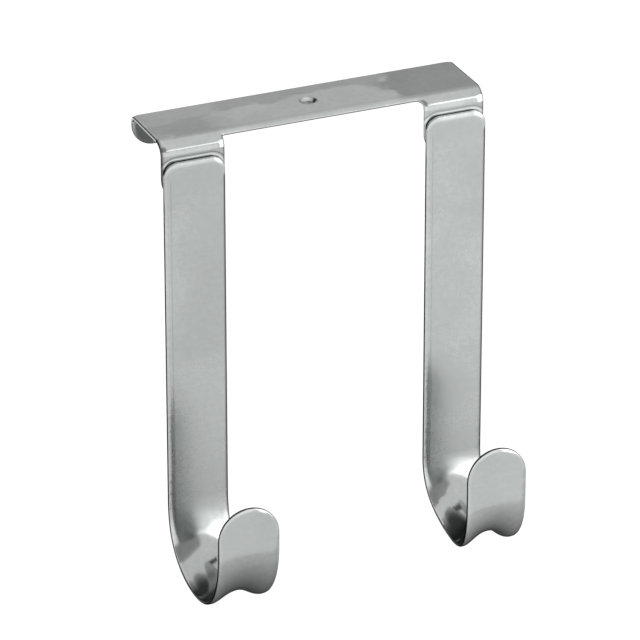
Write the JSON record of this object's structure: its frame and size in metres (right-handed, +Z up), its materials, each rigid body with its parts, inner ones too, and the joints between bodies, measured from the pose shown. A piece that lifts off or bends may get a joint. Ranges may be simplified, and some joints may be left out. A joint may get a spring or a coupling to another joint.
{
  "type": "over door hook",
  "caption": "Bent steel over-door hook: a folded bridge sits on a door's top edge, and flat strips lapped on its tabs hang down in front and end in saddle-pressed J bends.",
  "frame": {"origin": "middle of the bridge's underside, where it sits on the door's top edge", "axes": "+Z up, +X along the door to the right seen from the front, and the hooks face -Y"},
  "size_m": [0.096, 0.061, 0.1304],
  "materials": {
    "satin_steel": "satin, with softened edges"
  },
  "bodies": {
    "root": {"bridge": "satin_steel", "left_hook": "satin_steel", "right_hook": "satin_steel"}
  },
  "joints": []
}
